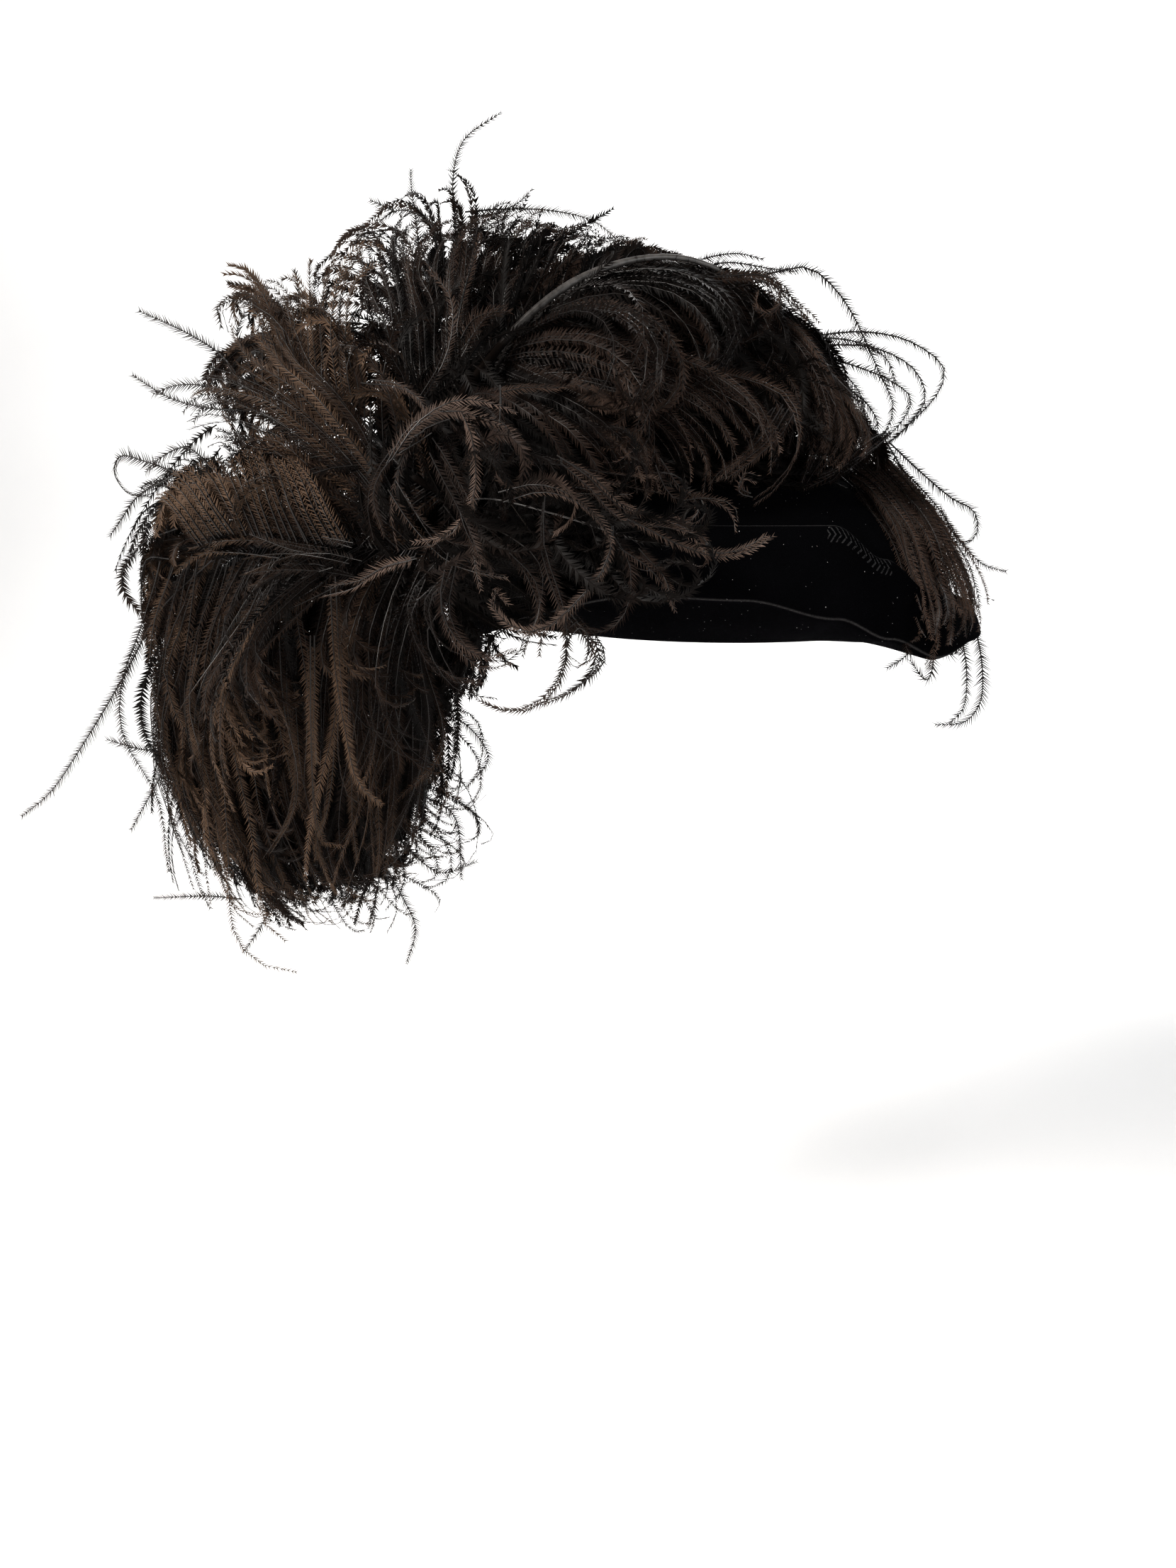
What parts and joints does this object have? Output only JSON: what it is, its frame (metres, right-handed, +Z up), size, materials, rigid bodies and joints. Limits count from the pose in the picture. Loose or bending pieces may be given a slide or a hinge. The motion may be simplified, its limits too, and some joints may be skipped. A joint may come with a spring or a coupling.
{
  "type": "feathered cap",
  "caption": "Low draped velvet cap with a turned-up cuff, trimmed on one side with curled ostrich plumes that arch over the crown and hang beside it.",
  "frame": {"origin": "middle of the head opening, level with the cap's inner edge", "axes": "+Z up out of the crown, the wearer faces -Y, +X is the wearer's left, so the plumes are on -X"},
  "size_m": [0.4248, 0.2847, 0.3647],
  "materials": {
    "velvet": "deep black silk velvet pile, very matt, pale only along crushed folds",
    "plume_black_brown": "near-black brown ostrich barbs, soft sheen, curled tips",
    "plume_brown": "dark warm brown ostrich barbs, soft sheen, curled tips",
    "plume_taupe": "paler grey-brown ostrich barbs, tightly curled"
  },
  "bodies": {
    "root": {"crown": "velvet", "cuff": "velvet", "plume_arch": "plume_black_brown", "plume_crest": "plume_black_brown", "plume_fan": "plume_brown", "plume_side": "plume_brown", "plume_drop": "plume_brown", "plume_curls": "plume_taupe", "plume_tail": "plume_black_brown"}
  },
  "joints": []
}
